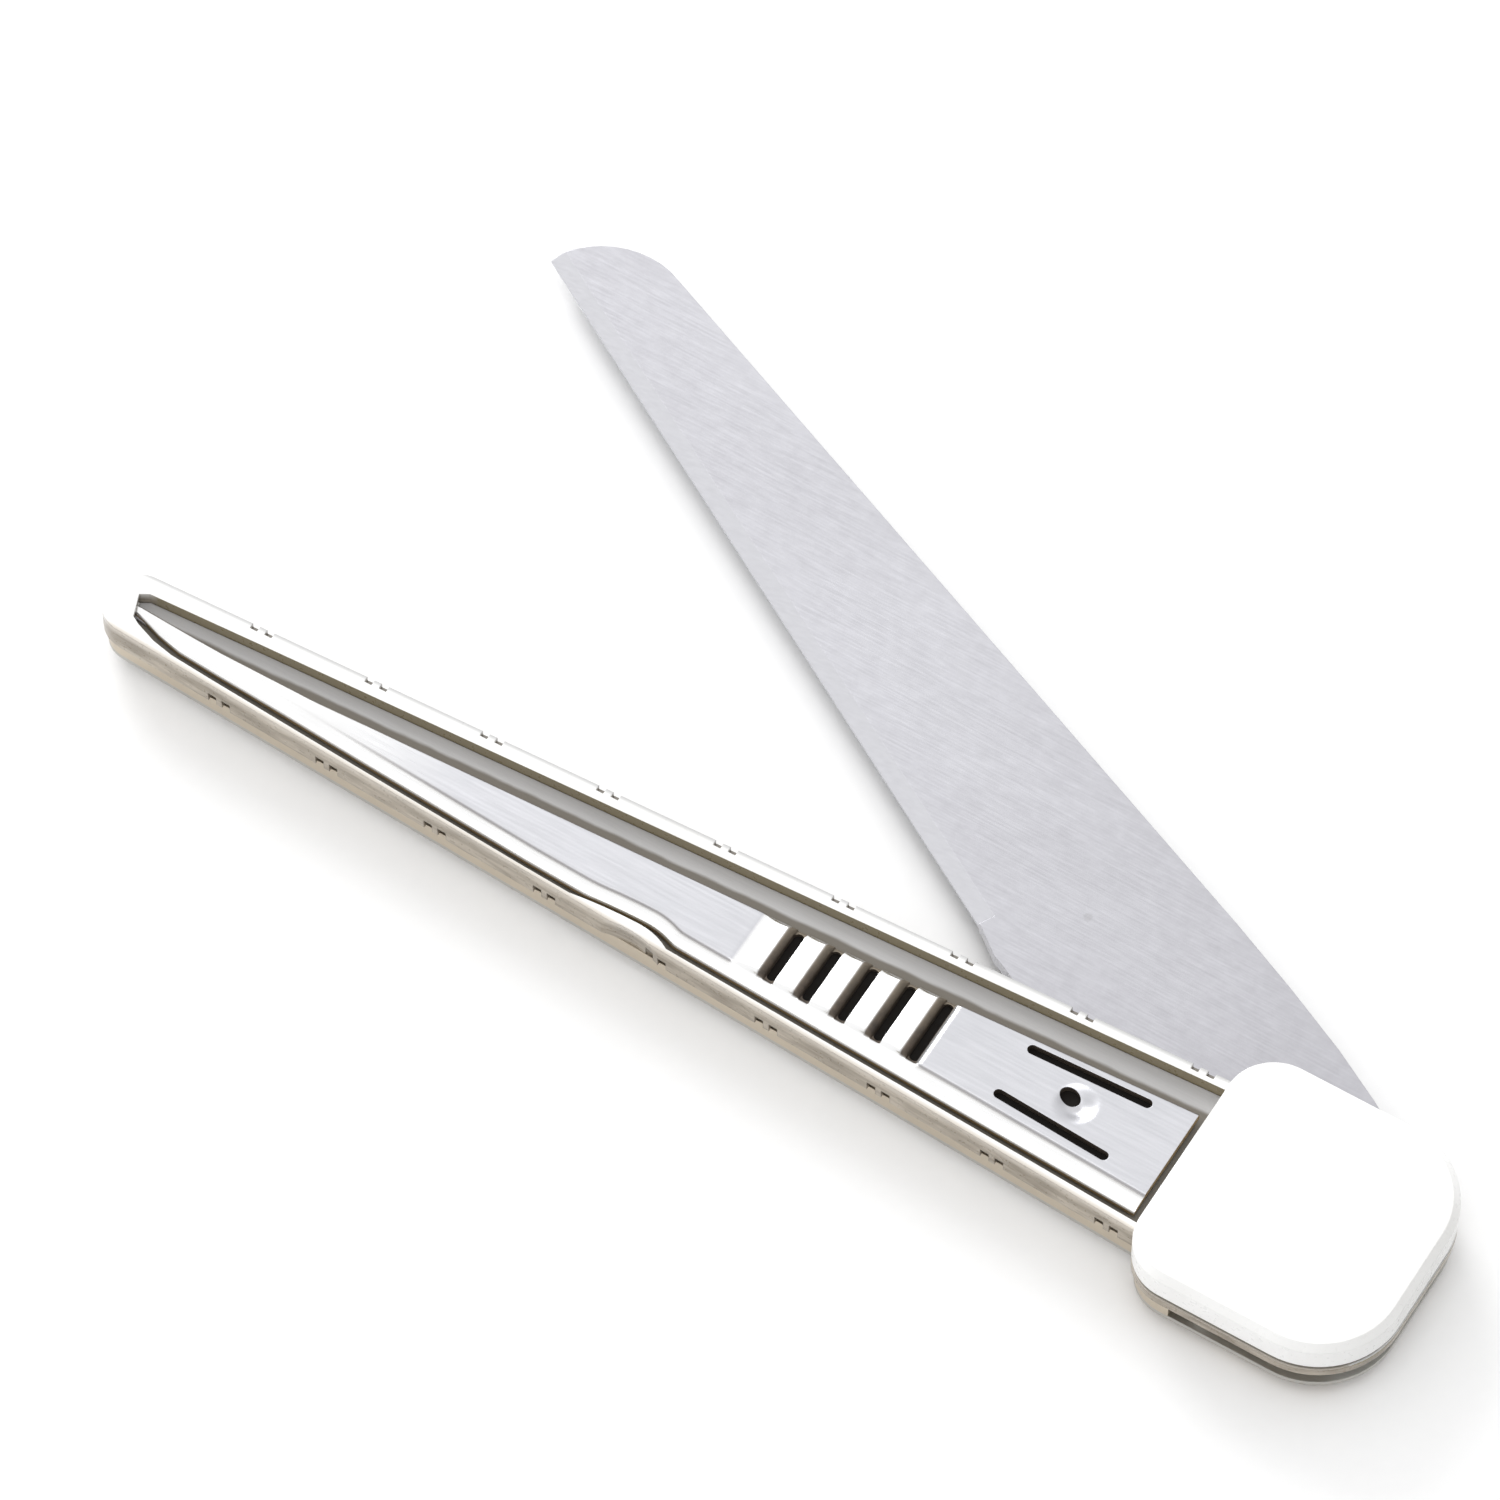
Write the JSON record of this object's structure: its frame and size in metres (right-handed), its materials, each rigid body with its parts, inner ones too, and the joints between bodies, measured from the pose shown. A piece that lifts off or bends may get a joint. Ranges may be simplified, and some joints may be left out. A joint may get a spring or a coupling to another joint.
{
  "type": "utility knife",
  "caption": "Folding utility knife: tapered white handle, broad steel blade with a rounded end, and a ribbed steel thumb slide that pushes out a small scoring point at the nose",
  "frame": {"origin": "on the axis of the blade pivot, at the flat outer face of the back cover", "axes": "+X runs along the handle from the nose to the tail end, +Y is the side that the blade opens to, +Z points out of the front, where the thumb slide is"},
  "size_m": [0.1088, 0.0566, 0.0068],
  "materials": {
    "white_body": "satin ivory white moulding",
    "liner_steel": "dull grey rolled steel sheet",
    "spacer_steel": "warm grey rolled steel edge",
    "fastener_steel": "plain turned steel",
    "washer_bronze": "phosphor bronze sheet",
    "blade_steel": "fine satin ground steel",
    "slide_steel": "bright satin stainless sheet",
    "dark_plastic": "brown black moulded plastic"
  },
  "bodies": {
    "handle": {"back_cover": "white_body", "back_liner": "liner_steel", "back_spacer": "spacer_steel", "spacer_pin_1": "fastener_steel", "spacer_pin_2": "fastener_steel", "spacer_pin_3": "fastener_steel", "cover_rivet_1": "fastener_steel", "cover_rivet_2": "fastener_steel", "cover_rivet_3": "fastener_steel", "front_frame": "white_body", "tray_floor": "liner_steel", "head_cap": "white_body", "cap_screw_upper": "fastener_steel", "cap_screw_lower": "fastener_steel", "pivot_post": "fastener_steel", "pivot_screw": "fastener_steel", "pivot_cover_disc": "white_body", "back_washer": "washer_bronze", "front_washer": "washer_bronze", "stop_pin": "fastener_steel"},
    "folding_blade": {"blade": "blade_steel"},
    "thumb_slide": {"slide_panel": "slide_steel", "slide_runner": "dark_plastic", "slide_keeper": "fastener_steel", "slide_stud_nose": "fastener_steel", "slide_stud_tail": "fastener_steel", "scoring_point": "blade_steel"}
  },
  "joints": [
    {"name": "blade_hinge", "type": "hinge", "parent": "handle", "child": "folding_blade", "pos_m": [0, 0, 0], "axis": [0, 0, -1], "range_deg": [-26.4, 153.5]},
    {"name": "slide_travel", "type": "slide", "parent": "handle", "child": "thumb_slide", "axis": [-1, 0, 0], "range_m": [0, 0.002]}
  ]
}
